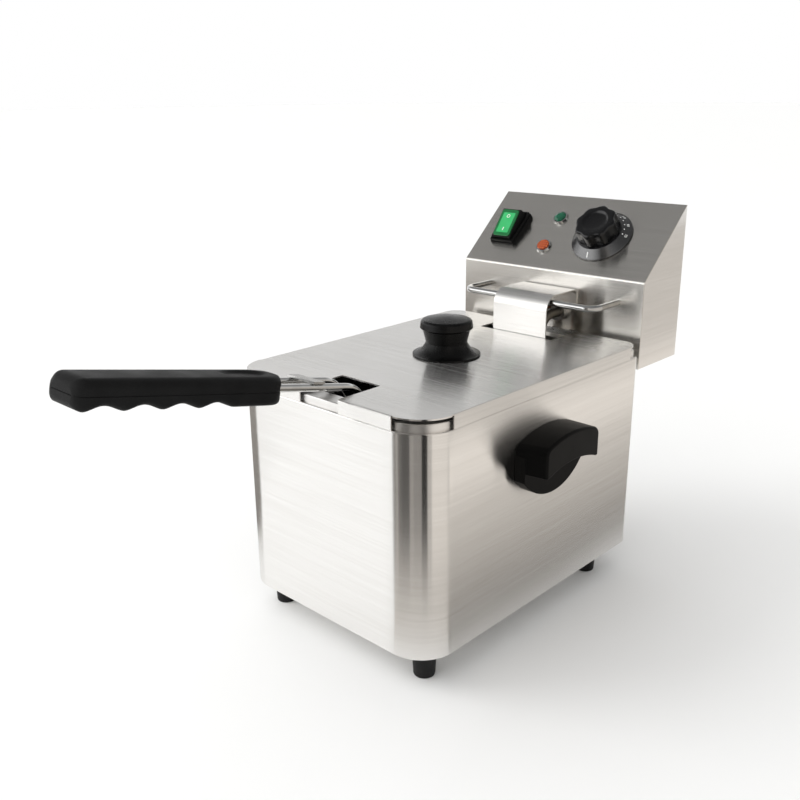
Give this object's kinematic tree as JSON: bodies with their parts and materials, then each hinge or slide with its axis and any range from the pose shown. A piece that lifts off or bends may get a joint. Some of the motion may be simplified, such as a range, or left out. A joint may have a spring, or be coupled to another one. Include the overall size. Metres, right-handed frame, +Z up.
{
  "type": "deep fryer",
  "caption": "Countertop deep fryer: steel casing, lift-out oil tank, hook-on control head with heating element, wire basket with moulded grip, loose lid.",
  "frame": {"origin": "on the table, under the middle of the whole fryer's box", "axes": "+X to the side of the thermostat dial, +Y to the control head, +Z up"},
  "size_m": [0.226, 0.4906, 0.2797],
  "materials": {
    "brushed_casing": "brushed",
    "bright_fixings": "bright",
    "chromed_wire": "polished",
    "element_tube": "satin",
    "copper_bulb": "satin",
    "black_moulding": "matte",
    "gloss_black": "gloss",
    "lamp_chrome": "polished",
    "green_window": "clear",
    "orange_window": "clear",
    "pale_moulding": "matte",
    "red_button": "matte"
  },
  "bodies": {
    "base": {"housing": "brushed_casing", "base_plate": "brushed_casing", "foot_front_left": "black_moulding", "foot_front_right": "black_moulding", "foot_rear_left": "black_moulding", "foot_rear_right": "black_moulding", "foot_screws": "bright_fixings", "side_handle_left": "black_moulding", "side_handle_right": "black_moulding", "side_handle_screws": "bright_fixings", "rear_bracket": "bright_fixings"},
    "tank": {"oil_tank": "brushed_casing"},
    "head": {"control_panel": "brushed_casing", "head_casing": "brushed_casing", "head_rear_cover": "brushed_casing", "rear_cover_screws": "bright_fixings", "head_hook": "bright_fixings", "element_cover": "brushed_casing", "hanger_wire": "chromed_wire", "heating_element": "element_tube", "element_bushings": "bright_fixings", "thermostat_bulb": "copper_bulb", "bulb_clips": "bright_fixings", "capillary": "copper_bulb", "thermostat": "pale_moulding", "green_lamp": "lamp_chrome", "green_lens": "green_window", "orange_lamp": "lamp_chrome", "orange_lens": "orange_window", "switch_frame": "black_moulding", "safety_cutout": "black_moulding", "cable_gland": "black_moulding", "terminal_block": "pale_moulding", "interlock_switch": "black_moulding"},
    "knob": {"thermostat_knob": "gloss_black", "dial_skirt": "gloss_black", "thermostat_shaft": "bright_fixings"},
    "rocker": {"switch_rocker": "black_moulding", "switch_window": "green_window"},
    "button": {"reset_button": "red_button"},
    "basket": {"basket_floor": "chromed_wire", "basket_left": "chromed_wire", "basket_right": "chromed_wire", "basket_front": "chromed_wire", "basket_rear": "chromed_wire", "basket_rim": "chromed_wire", "hanging_hooks": "chromed_wire", "handle_rod_left": "chromed_wire", "handle_rod_right": "chromed_wire", "rod_strap": "bright_fixings", "grip_upper": "black_moulding", "grip_lower": "black_moulding", "grip_screws": "bright_fixings"},
    "lid": {"lid": "brushed_casing", "lid_knob": "black_moulding", "lid_knob_screw": "bright_fixings"}
  },
  "joints": [
    {"name": "tank_lift", "type": "slide", "parent": "base", "child": "tank", "axis": [0, 0, 1], "range_m": [0, 0.13]},
    {"name": "head_lift", "type": "slide", "parent": "tank", "child": "head", "axis": [0, 0, 1], "range_m": [0, 0.13]},
    {"name": "lid_lift_off", "type": "slide", "parent": "head", "child": "lid", "axis": [0, -0.829, 0.5592], "range_m": [0, 0.46]},
    {"name": "basket_lift", "type": "slide", "parent": "head", "child": "basket", "axis": [0, 0, 1], "range_m": [0, 0.102]},
    {"name": "thermostat_turn", "type": "hinge", "parent": "head", "child": "knob", "pos_m": [0.0302, 0.19986, 0.25331], "axis": [0, 0.6678, -0.7443], "range_deg": [0, 280]},
    {"name": "switch_rock", "type": "hinge", "parent": "head", "child": "rocker", "pos_m": [-0.0575, 0.19722, 0.25296], "axis": [-1, 0, 0], "range_deg": [0, 22]},
    {"name": "reset_press", "type": "slide", "parent": "head", "child": "button", "axis": [0, -1, 0], "range_m": [0, 0.002], "stiffness_N_per_m": 500}
  ],
  "couplings": [
    {"joint": "basket_lift", "follows": "lid_lift_off", "ratio": 0.22}
  ]
}
